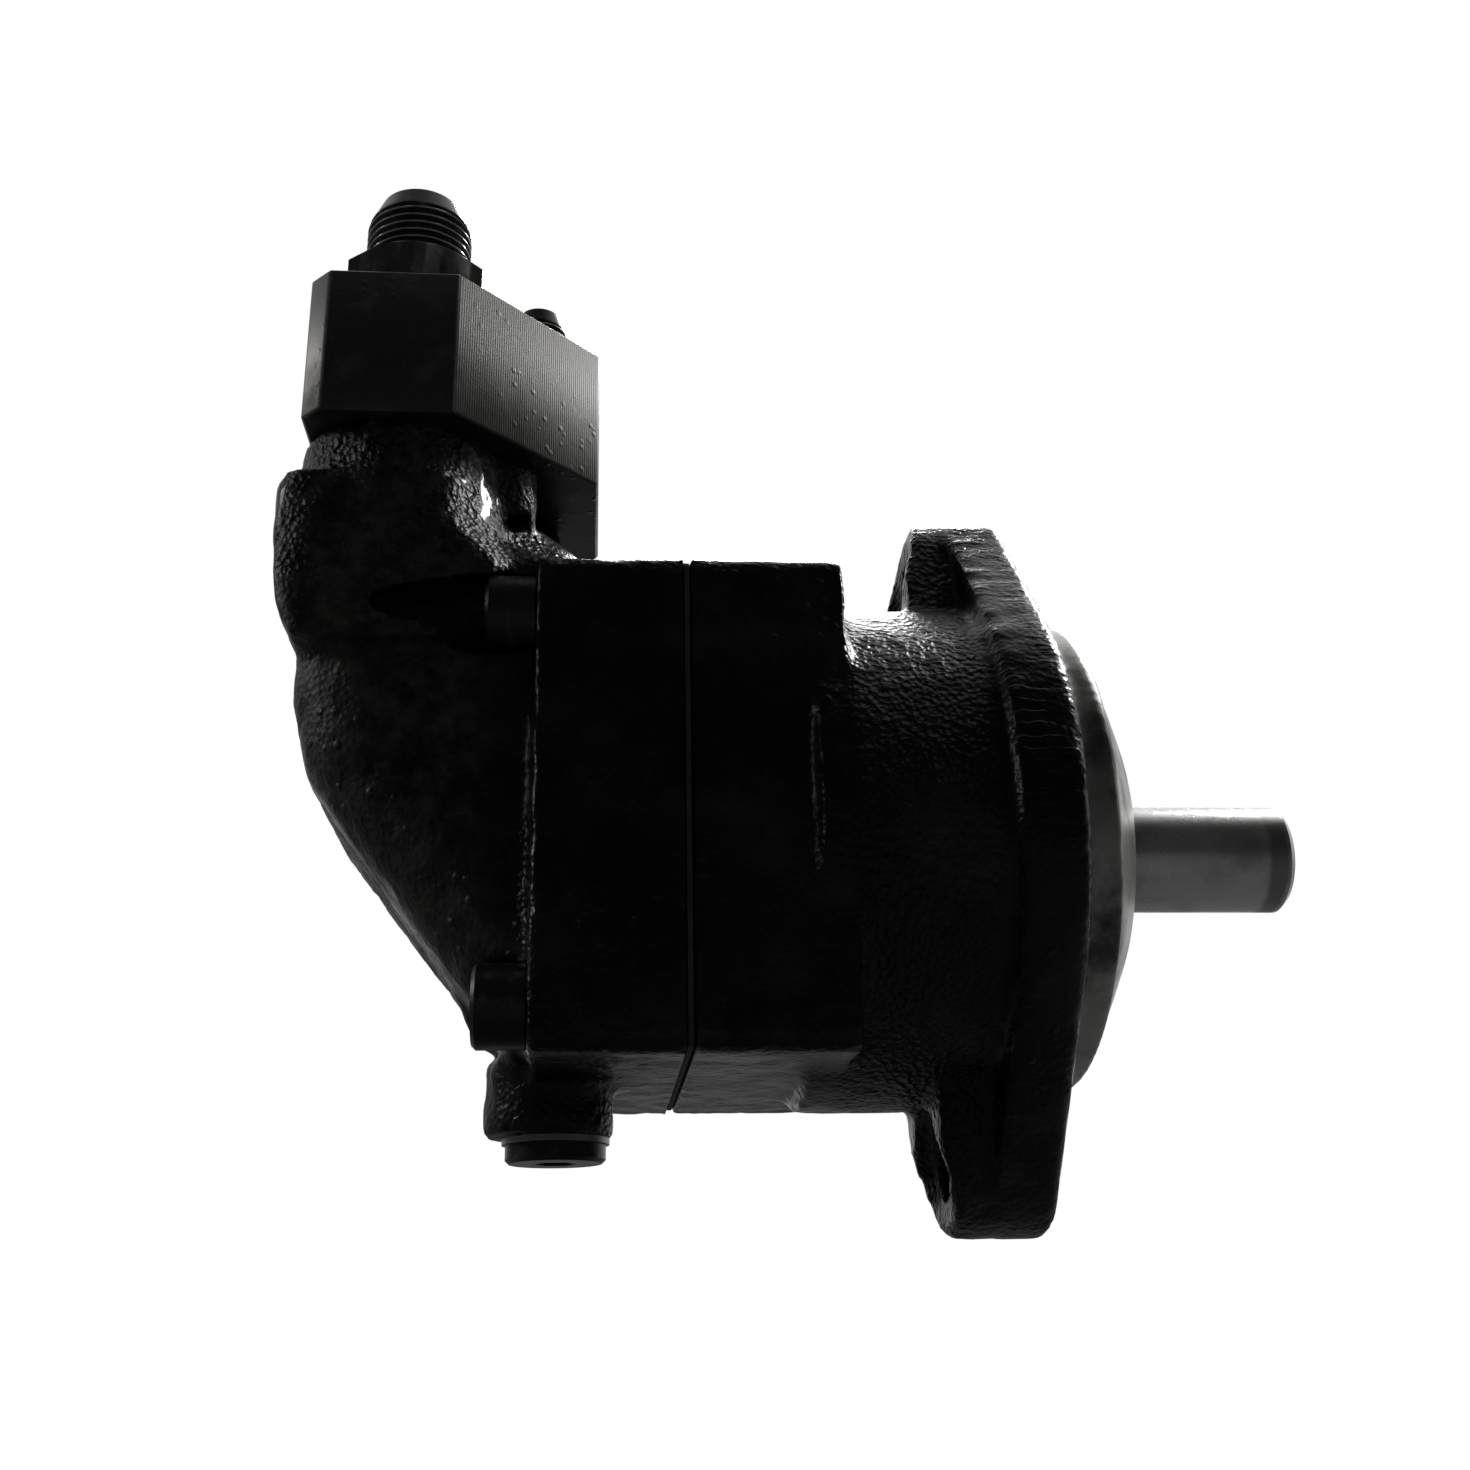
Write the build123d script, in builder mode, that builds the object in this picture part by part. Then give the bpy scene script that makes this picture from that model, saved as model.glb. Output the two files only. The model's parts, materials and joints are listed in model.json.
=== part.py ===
from build123d import *
import math
import os

os.makedirs("parts", exist_ok=True)

# Bent-axis piston motor. X is the shaft axis, towards the shaft end. Z is up, Y points to the far side.
# The origin is where the shaft axis meets the mounting face of the flange.

# Clearances
run_gap = 0.05
roll_gap = 0.20
socket_gap = 0.30
screw_gap = 0.45
thread_gap = 0.05

# Mounting flange, pilot and nose
pilot_r = 41.275
pilot_len = 6.35
pilot_chamfer = 1.0
bolt_spacing = 106.4
bolt_hole_r = 5.55
ear_r = 12.0
flange_r = 46.5
flange_t = 11.0
ear_tip_t = 16.5
ear_root_t = 20.0
ear_slope_z = 50.0
ear_root_r = 27.0
flange_edge_round = 2.2
spot_face_r = 9.5
spot_face_x = -17.0
nose_len = 13.2
nose_root_r = 38.5
nose_mid_r = 33.4
nose_tip_r = 26.0
nose_step_len = 0.4
nose_face_len = 3.2

# Bearing housing
split_x = -61.2
gasket_t = 0.8
gasket_inset = 0.8
square_half = 40.0
square_corner_r = 2.5
square_front_x = -35.5
neck_r = 44.2
neck_lap = 6.0
case_wall = 5.0
case_bore_end_x = -46.0
case_cone_len = 6.0
web_bore_r = 22.0

# Shaft
shaft_r = 9.525
shaft_end_x = 48.0
shaft_chamfer = 1.0
seal_land_r = 10.0
seal_land_end_x = 13.0
nut_thread_r = 12.4
drive_flange_r = 26.0
drive_flange_t = 10.0
drive_shoulder_r = 21.0
key_width = 4.76
key_len = 22.0
key_start_x = 21.0
key_depth = 2.5

# Tapered roller bearings, rear and front
rear_bore_r = 17.5
rear_outer_r = 31.0
rear_cone_w = 18.0
rear_cup_w = 14.0
rear_cone_x = -44.0
rear_roller_count = 16
front_bore_r = 12.5
front_outer_r = 26.0
front_cone_w = 15.0
front_cup_w = 13.0
front_roller_count = 14
spacer_len = 9.0
spacer_r = 20.0
cage_t = 1.2
cage_gap = 0.25
roller_end_gap = 0.7
race_lip = 0.9
race_share = 0.22
roller_lean_deg = 12.0
roller_centre_share = 0.47
roller_half_share = 0.33
roller_taper = 0.05
roller_groove_gap = 0.2
cage_past = 1.6
cage_rise = 0.3
nut_w = 6.0
nut_r = 18.0
nut_slot_w = 4.0
nut_slot_depth = 2.2
nut_runout = 0.4

# Shaft seal and its carrier
carrier_r = 24.0
carrier_back_x = 4.6
carrier_front_x = 11.2
carrier_ring_t = 1.5
carrier_ring_depth = 1.6
carrier_ring_width = 3.6
seal_r = 16.0
seal_t = 5.6
seal_back_x = 5.4
carrier_groove_w = 2.4
carrier_groove_depth = 1.7
carrier_groove_x = 7.0
carrier_lip_gap = 1.5
ring_side_gap = 0.2

# Barrel group on the bent axis
bend_deg = 40.0
pivot_x = -58.0
piston_count = 7
ball_pitch_r = 16.0
bore_pitch_r = 14.2
piston_r = 5.2
piston_ball_r = 4.95
piston_neck_r = 3.4
piston_skirt_slim = 0.35
piston_skirt_lead = 1.0
piston_skirt_len = 2.0
piston_end_room = 2.2
piston_ball_s = 20.8
ring_w = 1.6
ring_depth = 0.9
barrel_r = 22.0
barrel_front_s = 21.5
barrel_len = 34.0
barrel_chamfer = 3.0
bore_end_wall = 5.5
kidney_w = 5.0
kidney_sweep_deg = 20.0
plate_t = 4.0
plate_gap = 0.05
plate_r = 22.0
plate_kidney_w = 5.6
plate_kidney_deg = 116.0
dowel_r = 1.5
dowel_len = 6.0
dowel_pitch_r = 19.0
dowel_end_room = 0.5
pin_ball_r = 5.0
pin_r = 3.0
pin_collar_r = 6.4
pin_collar_s = 27.0
pin_collar_t = 2.0
pin_end_room = 9.5
spring_well_r = 6.9
spring_count = 6
spring_pitch = 1.5
spring_t = 0.7
spring_side_gap = 0.4
cavity_gap = 1.2

# Barrel housing
square_back_x = -85.5
body_inset = 6.0
body_edge_r = 13.0
body_knee_r = 8.0
body_lap = 10.0
body_top_lap = 3.0
body_low_z = -37.0
body_foot_x = -89.0
body_knee_x = -122.2
body_knee_z = 6.2
body_side_x = -125.6
body_side_z = 20.0
body_top_x = -124.8
body_top_z = 50.0
rib_t = 4.0
rib_low_x = -95.2
rib_low_z = -33.0
rib_top_x = -100.6
rib_top_z = -21.6
rib_root = 6.0
pillar_right_x = -97.0
pillar_low_z = 26.0
pillar_corner_r = 6.0
pillar_side = [(-124.4, 26.0), (-125.4, 28.0), (-127.0, 32.4), (-128.2, 39.0), (-128.8, 46.0), (-129.1, 56.0)]
flank_profile = [(26.0, 34.0), (24.3, 40.0), (21.2, 44.5), (19.0, 50.0), (17.9, 57.0)]
neck_pillar_x = -109.8
neck_pillar_r = 17.5
web_half = 20.0
web_lap = 12.0
web_corner_r = 6.0
web_left_x = -124.0
web_right_x = -94.0
hood_r = 29.0
hood_past = 1.0
passage_r = 5.0
gallery_r = 4.5
passage_end_s = 71.5
passage_low_z = 40.0
drain_passage_r = 2.5
drain_passage_len = 16.0
plug_boss_x = -81.6
plug_boss_r = 10.8
plug_boss_shift = -1.3
plug_boss_low_z = -48.2
plug_hole_past = 12.0

# Port block
block_left_x = -125.3
block_right_x = -75.8
block_half = 39.0
block_end_half = 15.1
block_low_z = 65.8
block_height = 27.4
block_left_cut = 3.6
block_edge = 0.5
port_x = -109.4
port_y = 20.0
port_thread_r = 9.525
port_depth = 14.0
drain_x = -88.0
drain_y = 5.0
drain_thread_r = 5.556
drain_depth = 11.0
seat_oring_t = 2.2
seat_face_r = 14.0
seat_face_depth = 0.4
block_oring_inner_r = 6.4
block_oring_w = 2.0
block_oring_t = 1.2
block_oring_edge = 0.35

# Flare adapters: large ones on the ports, a small one on the case drain
big_hex_flats = 23.8
big_hex_top = 11.6
big_hex_low = 0.8
big_thread_top = 21.4
big_total = 26.6
big_tip_r = 7.2
big_bore_r = 5.0
small_hex_flats = 14.3
small_hex_top = 8.6
small_hex_low = 0.8
small_thread_top = 16.6
small_total = 21.2
small_tip_r = 3.9
small_bore_r = 2.2
adapter_relief = 0.9
adapter_relief_len = 1.4
stud_end_room = 1.0
stud_chamfer = 0.8

# Cap screws
housing_screw_r = 4.0
housing_screw_head_r = 6.5
housing_screw_head_h = 8.0
housing_screw_reach = 20.0
housing_screw_inset = 8.0
housing_screw_hex = 6.0
screw_pocket_gap = 0.3
screw_pocket_past = 1.5
spanner_way_len = 27.0
spanner_way_taper = 6.0
head_edge = 0.6
block_screw_r = 3.0
block_screw_head_r = 5.0
block_screw_head_h = 6.0
block_screw_sunk = 0.5
block_screw_reach = 10.0
block_screw_hex = 5.0
block_screw_boss_r = 5.2

# Drain plug
plug_r = 6.0
plug_head_r = 8.3
plug_head_t = 3.0
plug_len = 9.0
plug_hex = 6.0
plug_hex_depth = 4.5
washer_t = 1.0
washer_lip = 0.6

# Places worked out from the sizes above
case_bore_r = square_half - case_wall
body_half = square_half - body_inset
housing_screw_offset = square_half - housing_screw_inset
block_top_z = block_low_z + block_height
housing_face_x = split_x + gasket_t / 2
barrel_face_x = split_x - gasket_t / 2
drive_face_x = pivot_x
rear_cone_end_x = rear_cone_x + rear_cone_w
front_cone_x = rear_cone_end_x + spacer_len
front_cone_end_x = front_cone_x + front_cone_w
nut_end_x = front_cone_end_x + nut_w
barrel_back_s = barrel_front_s + barrel_len
plate_s = barrel_back_s + plate_gap
seat_s = plate_s + plate_t
pillar_left_x, ledge_z = pillar_side[-1]
pillar_front_y = port_y + neck_pillar_r
piston_len = barrel_back_s - bore_end_wall - piston_end_room - piston_ball_s
pin_end_s = barrel_back_s - pin_end_room
bend = math.radians(bend_deg)
barrel_dir = Vector(-math.cos(bend), 0, math.sin(bend))
barrel_plane = Plane(origin=(pivot_x, 0, 0), x_dir=(0, 1, 0), z_dir=barrel_dir)
block_screw_spots = [(-118.0, 0), (-102.0, 0), (-91.5, port_y), (-91.5, -port_y)]
ear_spots = [(0, bolt_spacing / 2), (0, -bolt_spacing / 2)]
corner_spots = [
    (y * housing_screw_offset, z * housing_screw_offset) for y in (-1, 1) for z in (-1, 1)
]


def across(x):
    """Plane across the shaft axis at x, with its own x along Y and its own y along Z."""
    return Plane(origin=(x, 0, 0), x_dir=(0, 1, 0), z_dir=(1, 0, 0))


def hex_corner_r(flats):
    return flats / math.sqrt(3)


def save(piece, name):
    piece.part.label = name
    export_step(piece.part, f"parts/{name}.step")


def ear_outline(root_r):
    """Two ear circles joined to a round body by tangents, on the active sketch."""
    reach = bolt_spacing / 2
    lean = math.asin((root_r - ear_r) / reach)
    side = (math.cos(lean), math.sin(lean))
    Circle(root_r)
    for sign in (1, -1):
        with Locations((0, sign * reach)):
            Circle(ear_r)
        Polygon(
            (root_r * side[0], sign * root_r * side[1]),
            (ear_r * side[0], sign * (reach + ear_r * side[1])),
            (-ear_r * side[0], sign * (reach + ear_r * side[1])),
            (-root_r * side[0], sign * root_r * side[1]),
            align=None,
        )


# Ears, thicker towards the neck than at their tips
with BuildPart() as ears:
    with BuildSketch(across(-ear_root_t)):
        ear_outline(ear_root_r)
    extrude(amount=ear_root_t)
    tip_z = bolt_spacing / 2 + ear_r
    with BuildSketch(Plane.XZ.offset(-ear_root_r)):
        with BuildLine():
            Polyline(
                (0, tip_z),
                (-ear_tip_t, tip_z),
                (-ear_root_t, ear_slope_z),
                (-ear_root_t, -ear_slope_z),
                (-ear_tip_t, -tip_z),
                (0, -tip_z),
                close=True,
            )
        make_face()
    extrude(amount=2 * ear_root_r, mode=Mode.INTERSECT)


# Bearing housing: square rear section, round neck, two-bolt flange, pilot and conical nose
with BuildPart() as bearing_housing:
    with BuildSketch(across(housing_face_x)):
        RectangleRounded(2 * square_half, 2 * square_half, square_corner_r)
    extrude(amount=square_front_x - housing_face_x)
    with BuildSketch(across(square_front_x - neck_lap)):
        Circle(neck_r)
    extrude(amount=neck_lap - square_front_x)
    with BuildSketch(across(-flange_t)):
        ear_outline(flange_r)
    extrude(amount=flange_t)
    add(ears.part)
    fillet(bearing_housing.faces().sort_by(Axis.X)[-1].outer_wire().edges(), flange_edge_round)
    with BuildSketch(Plane.XZ):
        with BuildLine():
            Polyline(
                (-1, 0),
                (-1, pilot_r),
                (pilot_len - pilot_chamfer, pilot_r),
                (pilot_len, pilot_r - pilot_chamfer),
                (pilot_len + nose_step_len, nose_root_r),
                (pilot_len + nose_face_len, nose_mid_r),
                (nose_len, nose_tip_r),
                (nose_len, 0),
                close=True,
            )
        make_face()
    revolve(axis=Axis.X)
    # Case bore, bearing seats and web, then the seal carrier's bore from the front
    with BuildSketch(Plane.XZ):
        with BuildLine():
            Polyline(
                (housing_face_x - 1, 0),
                (housing_face_x - 1, case_bore_r),
                (case_bore_end_x, case_bore_r),
                (case_bore_end_x, rear_outer_r),
                (rear_cone_end_x, rear_outer_r),
                (rear_cone_end_x, web_bore_r),
                (front_cone_x, web_bore_r),
                (front_cone_x, front_outer_r),
                (front_cone_end_x + 1, front_outer_r),
                (carrier_back_x, carrier_r),
                (nose_len + 1, carrier_r),
                (nose_len + 1, 0),
                close=True,
            )
        make_face()
    revolve(axis=Axis.X, mode=Mode.SUBTRACT)
    with BuildSketch(across(carrier_front_x)):
        Circle(carrier_r + carrier_ring_depth)
    extrude(amount=carrier_ring_t, mode=Mode.SUBTRACT)
    with BuildSketch(across(0)):
        with Locations(*ear_spots):
            Circle(bolt_hole_r)
    extrude(amount=-ear_root_t - 1, mode=Mode.SUBTRACT)
    with BuildSketch(across(spot_face_x)):
        with Locations(*ear_spots):
            Circle(spot_face_r)
    extrude(amount=-ear_root_t - spot_face_x, mode=Mode.SUBTRACT)
    with BuildSketch(across(housing_face_x)):
        with Locations(*corner_spots):
            Circle(housing_screw_r + thread_gap)
    extrude(amount=housing_screw_reach + 1, mode=Mode.SUBTRACT)
save(bearing_housing, "bearing_housing")


# Gasket between the two housings
with BuildPart() as housing_gasket:
    with BuildSketch(across(barrel_face_x)):
        RectangleRounded(
            2 * (square_half - gasket_inset), 2 * (square_half - gasket_inset), square_corner_r - gasket_inset
        )
        Circle(case_bore_r, mode=Mode.SUBTRACT)
        with Locations(*corner_spots):
            Circle(housing_screw_r + screw_gap, mode=Mode.SUBTRACT)
    extrude(amount=gasket_t)
save(housing_gasket, "housing_gasket")


# Barrel housing: square flange, sloped body, two port pillars, hood over the barrel, plug boss
with BuildPart() as sloped_body:
    with BuildSketch(Plane.XZ.offset(-body_half)) as body_outline:
        with BuildLine():
            Polyline(
                (square_back_x + body_lap, square_half - body_top_lap),
                (square_back_x + body_lap, body_low_z),
                (body_foot_x, body_low_z),
                (body_knee_x, body_knee_z),
                (body_side_x, body_side_z),
                (body_top_x, body_top_z),
                (web_right_x, body_top_z),
                close=True,
            )
        make_face()
        fillet(body_outline.vertices().sort_by(Axis.X)[0:3], body_knee_r)
    extrude(amount=2 * body_half)
    body_rims = sloped_body.faces().filter_by(Axis.Y).edges()
    open_rims = [rim for rim in body_rims if rim.center().X < square_back_x - 1]
    fillet([rim for rim in open_rims if rim.center().Z < body_top_z - 1], body_edge_r)

# The two port pillars: squarish below the ledge, flared towards the square flange
with BuildPart() as pillars:
    with BuildSketch(Plane.XY.offset(pillar_low_z)):
        with Locations(*[((pillar_left_x + pillar_right_x) / 2, side * port_y) for side in (-1, 1)]):
            RectangleRounded(pillar_right_x - pillar_left_x, 2 * neck_pillar_r, pillar_corner_r)
    extrude(amount=ledge_z - pillar_low_z)
    with BuildSketch(Plane.XZ.offset(-square_half)):
        with BuildLine():
            Polyline(
                *pillar_side,
                (pillar_right_x, ledge_z),
                (pillar_right_x, pillar_low_z),
                (pillar_side[0][0], pillar_low_z),
                close=True,
            )
        make_face()
    extrude(amount=2 * square_half, mode=Mode.INTERSECT)

with BuildPart() as flanks:
    for side in (-1, 1):
        with BuildSketch(Plane.XZ.offset(-side * port_y)):
            with BuildLine():
                Polyline(
                    (neck_pillar_x, flank_profile[0][1]),
                    *[(neck_pillar_x + radius, z) for radius, z in flank_profile],
                    (neck_pillar_x, flank_profile[-1][1]),
                    close=True,
                )
            make_face()
        revolve(axis=Axis((neck_pillar_x, side * port_y, 0), (0, 0, 1)))
    with BuildSketch(Plane.XY.offset(flank_profile[0][1])):
        with Locations(((neck_pillar_x + square_back_x) / 2, 0)):
            Rectangle(square_back_x - neck_pillar_x, 2 * pillar_front_y)
    extrude(amount=block_low_z - flank_profile[0][1], mode=Mode.INTERSECT)

with BuildPart() as barrel_housing:
    with BuildSketch(across(barrel_face_x)):
        RectangleRounded(2 * square_half, 2 * square_half, square_corner_r)
    extrude(amount=square_back_x - barrel_face_x)
    add(sloped_body.part)
    add(pillars.part)
    add(flanks.part)
    for side in (-1, 1):
        with BuildSketch(Plane.XY.offset(ledge_z - 1)):
            with Locations((neck_pillar_x, side * port_y)):
                Circle(neck_pillar_r)
            with Locations((block_screw_spots[2][0], side * port_y)):
                Circle(block_screw_boss_r)
        extrude(amount=block_low_z - ledge_z + 1)
    with BuildSketch(Plane.XY.offset(body_top_z - web_lap)):
        with Locations(((web_left_x + web_right_x) / 2, 0)):
            RectangleRounded(web_right_x - web_left_x, 2 * web_half, web_corner_r)
        with Locations((drain_x, drain_y)):
            Circle(block_screw_boss_r)
        with Locations(((drain_x + web_right_x) / 2, drain_y)):
            Rectangle(abs(drain_x - web_right_x), 2 * block_screw_boss_r)
    extrude(amount=block_low_z - body_top_z + web_lap)
    with BuildSketch(barrel_plane):
        Circle(hood_r)
    extrude(amount=seat_s + hood_past)
    with BuildSketch(across(barrel_face_x)):
        Rectangle(8 * square_half, 8 * square_half)
    extrude(amount=4 * square_half, mode=Mode.SUBTRACT)
    with BuildSketch(Plane.XY.offset(plug_boss_low_z)):
        with Locations((plug_boss_x + plug_boss_shift, 0)):
            Circle(plug_boss_r)
    extrude(amount=-plug_boss_low_z - case_bore_r - 1)
    with BuildSketch(Plane.XZ.offset(-rib_t / 2)):
        with BuildLine():
            Polyline(
                (square_back_x, body_low_z),
                (rib_low_x, rib_low_z),
                (rib_top_x, rib_top_z),
                (rib_top_x + rib_root, rib_top_z),
                close=True,
            )
        make_face()
    extrude(amount=rib_t)
    # Room for the barrel, along the bent axis, and the case bore at the joint
    with BuildSketch(barrel_plane):
        Circle(barrel_r + cavity_gap)
    extrude(amount=seat_s, mode=Mode.SUBTRACT)
    with BuildSketch(across(barrel_face_x)):
        Circle(case_bore_r)
    extrude(amount=-case_cone_len, taper=bend_deg, mode=Mode.SUBTRACT)
    # Oil passages from the valve plate up the pillars
    for side in (-1, 1):
        with BuildSketch(barrel_plane.offset(seat_s)):
            with Locations((side * bore_pitch_r, 0)):
                Circle(gallery_r)
        extrude(amount=passage_end_s - seat_s, mode=Mode.SUBTRACT)
        with BuildSketch(Plane.XY.offset(block_low_z)):
            with Locations((port_x, side * port_y)):
                Circle(passage_r)
        extrude(amount=passage_low_z - block_low_z, mode=Mode.SUBTRACT)
        with BuildSketch(Plane.XY.offset(block_low_z)):
            with Locations((port_x, side * port_y)):
                Circle(block_oring_inner_r + block_oring_w)
                Circle(block_oring_inner_r, mode=Mode.SUBTRACT)
        extrude(amount=-block_oring_t, mode=Mode.SUBTRACT)
    with BuildSketch(Plane.XY.offset(block_low_z)):
        with Locations((drain_x, drain_y)):
            Circle(drain_passage_r)
    extrude(amount=-drain_passage_len, mode=Mode.SUBTRACT)
    with BuildSketch(Plane.XY.offset(block_low_z)):
        with Locations(*block_screw_spots):
            Circle(block_screw_r + thread_gap)
    extrude(amount=-block_screw_reach - 1, mode=Mode.SUBTRACT)
    with BuildSketch(across(barrel_face_x)):
        with Locations(*corner_spots):
            Circle(housing_screw_r + screw_gap)
    extrude(amount=square_back_x - barrel_face_x, mode=Mode.SUBTRACT)
    with BuildSketch(across(square_back_x)):
        with Locations(*corner_spots):
            Circle(housing_screw_head_r + screw_pocket_gap)
    extrude(amount=-housing_screw_head_h - screw_pocket_past, mode=Mode.SUBTRACT)
    with BuildSketch(across(square_back_x - housing_screw_head_h - screw_pocket_past)):
        with Locations(*corner_spots):
            Circle(housing_screw_head_r + screw_pocket_gap)
    extrude(amount=-spanner_way_len, taper=spanner_way_taper, mode=Mode.SUBTRACT)
    with BuildSketch(Plane.XY.offset(plug_boss_low_z)):
        with Locations((plug_boss_x, 0)):
            Circle(plug_r + thread_gap)
    extrude(amount=plug_len + plug_hole_past, mode=Mode.SUBTRACT)
    with BuildSketch(barrel_plane.offset(seat_s)):
        with Locations((0, dowel_pitch_r), (0, -dowel_pitch_r)):
            Circle(dowel_r + thread_gap)
    extrude(amount=dowel_len - plate_t + dowel_end_room, mode=Mode.SUBTRACT)
save(barrel_housing, "barrel_housing")


# Cap screws through the barrel housing into the bearing housing
with BuildPart() as housing_screws:
    with BuildSketch(across(square_back_x)):
        with Locations(*corner_spots):
            Circle(housing_screw_head_r)
    extrude(amount=-housing_screw_head_h)
    chamfer(housing_screws.faces().sort_by(Axis.X)[0:4].edges(), head_edge)
    with BuildSketch(across(square_back_x)):
        with Locations(*corner_spots):
            Circle(housing_screw_r)
    extrude(amount=housing_face_x + housing_screw_reach - square_back_x)
    with BuildSketch(across(square_back_x - housing_screw_head_h)):
        with Locations(*corner_spots):
            RegularPolygon(hex_corner_r(housing_screw_hex), 6)
    extrude(amount=housing_screw_head_h / 2, mode=Mode.SUBTRACT)
save(housing_screws, "housing_screws")


# Port block with bevelled vertical corners
with BuildPart() as port_block:
    corner_cut = block_half - block_end_half
    with BuildSketch(Plane.XY.offset(block_low_z)):
        with BuildLine():
            Polyline(
                (block_left_x + block_left_cut, -block_half),
                (block_right_x - corner_cut, -block_half),
                (block_right_x, -block_end_half),
                (block_right_x, block_end_half),
                (block_right_x - corner_cut, block_half),
                (block_left_x + block_left_cut, block_half),
                (block_left_x, block_half - block_left_cut),
                (block_left_x, block_left_cut - block_half),
                close=True,
            )
        make_face()
    extrude(amount=block_top_z - block_low_z)
    chamfer(port_block.faces().sort_by(Axis.Z)[-1].edges(), block_edge)
    chamfer(port_block.faces().sort_by(Axis.Z)[0].edges(), block_edge)
    with BuildSketch(Plane.XY.offset(block_top_z)):
        with Locations((port_x, port_y), (port_x, -port_y)):
            Circle(seat_face_r)
    extrude(amount=-seat_face_depth, mode=Mode.SUBTRACT)
    with BuildSketch(Plane.XY.offset(block_top_z)):
        with Locations((port_x, port_y), (port_x, -port_y)):
            Circle(port_thread_r + thread_gap)
    extrude(amount=-port_depth, mode=Mode.SUBTRACT)
    with BuildSketch(Plane.XY.offset(block_low_z)):
        with Locations((port_x, port_y), (port_x, -port_y)):
            Circle(passage_r)
        with Locations((drain_x, drain_y)):
            Circle(drain_passage_r)
    extrude(amount=block_top_z - block_low_z, mode=Mode.SUBTRACT)
    with BuildSketch(Plane.XY.offset(block_top_z)):
        with Locations((drain_x, drain_y)):
            Circle(drain_thread_r + thread_gap)
    extrude(amount=-drain_depth, mode=Mode.SUBTRACT)
    with Locations(*[(x, y, block_top_z) for x, y in block_screw_spots]):
        CounterBoreHole(
            block_screw_r + screw_gap,
            block_screw_head_r + screw_gap,
            block_screw_head_h + block_screw_sunk,
            block_top_z - block_low_z,
        )
save(port_block, "port_block")


# Screws that hold the port block, heads sunk in the block
with BuildPart() as block_screws:
    with BuildSketch(Plane.XY.offset(block_top_z - block_screw_sunk)):
        with Locations(*block_screw_spots):
            Circle(block_screw_head_r)
    extrude(amount=-block_screw_head_h)
    with BuildSketch(Plane.XY.offset(block_top_z - block_screw_sunk - block_screw_head_h)):
        with Locations(*block_screw_spots):
            Circle(block_screw_r)
    extrude(amount=block_low_z - block_screw_reach - (block_top_z - block_screw_sunk - block_screw_head_h))
    with BuildSketch(Plane.XY.offset(block_top_z - block_screw_sunk)):
        with Locations(*block_screw_spots):
            RegularPolygon(hex_corner_r(block_screw_hex), 6)
    extrude(amount=-block_screw_head_h / 2, mode=Mode.SUBTRACT)
save(block_screws, "block_screws")


def flare_adapter(x, y, thread_r, depth, flats, hex_low, hex_top, thread_top, total, tip_r, bore_r):
    """Straight adapter: port stud, hexagon, flare thread and 37 degree cone, bored through."""
    stud_r = thread_r
    with BuildPart() as adapter:
        with BuildSketch(Plane.XZ.offset(-y)):
            with BuildLine():
                Polyline(
                    (x, block_top_z - depth),
                    (x + stud_r - stud_chamfer, block_top_z - depth),
                    (x + stud_r, block_top_z - depth + stud_chamfer),
                    (x + stud_r, block_top_z - seat_face_depth),
                    (x + stud_r, block_top_z + hex_top),
                    (x + stud_r - adapter_relief, block_top_z + hex_top),
                    (x + stud_r - adapter_relief, block_top_z + hex_top + adapter_relief_len),
                    (x + stud_r, block_top_z + hex_top + adapter_relief_len + adapter_relief),
                    (x + stud_r, block_top_z + thread_top),
                    (x + tip_r, block_top_z + total),
                    (x, block_top_z + total),
                    close=True,
                )
            make_face()
        revolve(axis=Axis((x, y, 0), (0, 0, 1)))
        with BuildSketch(Plane.XY.offset(block_top_z + hex_low)):
            with Locations((x, y)):
                RegularPolygon(hex_corner_r(flats), 6)
        extrude(amount=hex_top - hex_low)
        with BuildSketch(Plane.XY.offset(block_top_z + total)):
            with Locations((x, y)):
                Circle(bore_r)
        extrude(amount=-total - depth, mode=Mode.SUBTRACT)
    return adapter


def seat_oring(x, y, inner_r, low_z, high_z):
    """Seal ring squeezed between an adapter's hexagon and the block."""
    with BuildPart() as ring:
        with BuildSketch(Plane.XY.offset(low_z)):
            with Locations((x, y)):
                Circle(inner_r + seat_oring_t)
                Circle(inner_r, mode=Mode.SUBTRACT)
        extrude(amount=high_z - low_z)
        fillet(ring.edges().filter_by(GeomType.CIRCLE), (high_z - low_z) * 0.3)
    return ring


for suffix, side in (("a", -1), ("b", 1)):
    port_adapter = flare_adapter(
        port_x, side * port_y, port_thread_r, port_depth - stud_end_room, big_hex_flats, big_hex_low,
        big_hex_top, big_thread_top, big_total, big_tip_r, big_bore_r,
    )
    save(port_adapter, f"port_adapter_{suffix}")
    port_oring = seat_oring(
        port_x, side * port_y, port_thread_r, block_top_z - seat_face_depth, block_top_z + big_hex_low
    )
    save(port_oring, f"port_adapter_oring_{suffix}")

drain_adapter = flare_adapter(
    drain_x, drain_y, drain_thread_r, drain_depth - stud_end_room, small_hex_flats, small_hex_low,
    small_hex_top, small_thread_top, small_total, small_tip_r, small_bore_r,
)
save(drain_adapter, "drain_adapter")
save(seat_oring(drain_x, drain_y, drain_thread_r, block_top_z, block_top_z + small_hex_low), "drain_adapter_oring")


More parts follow.
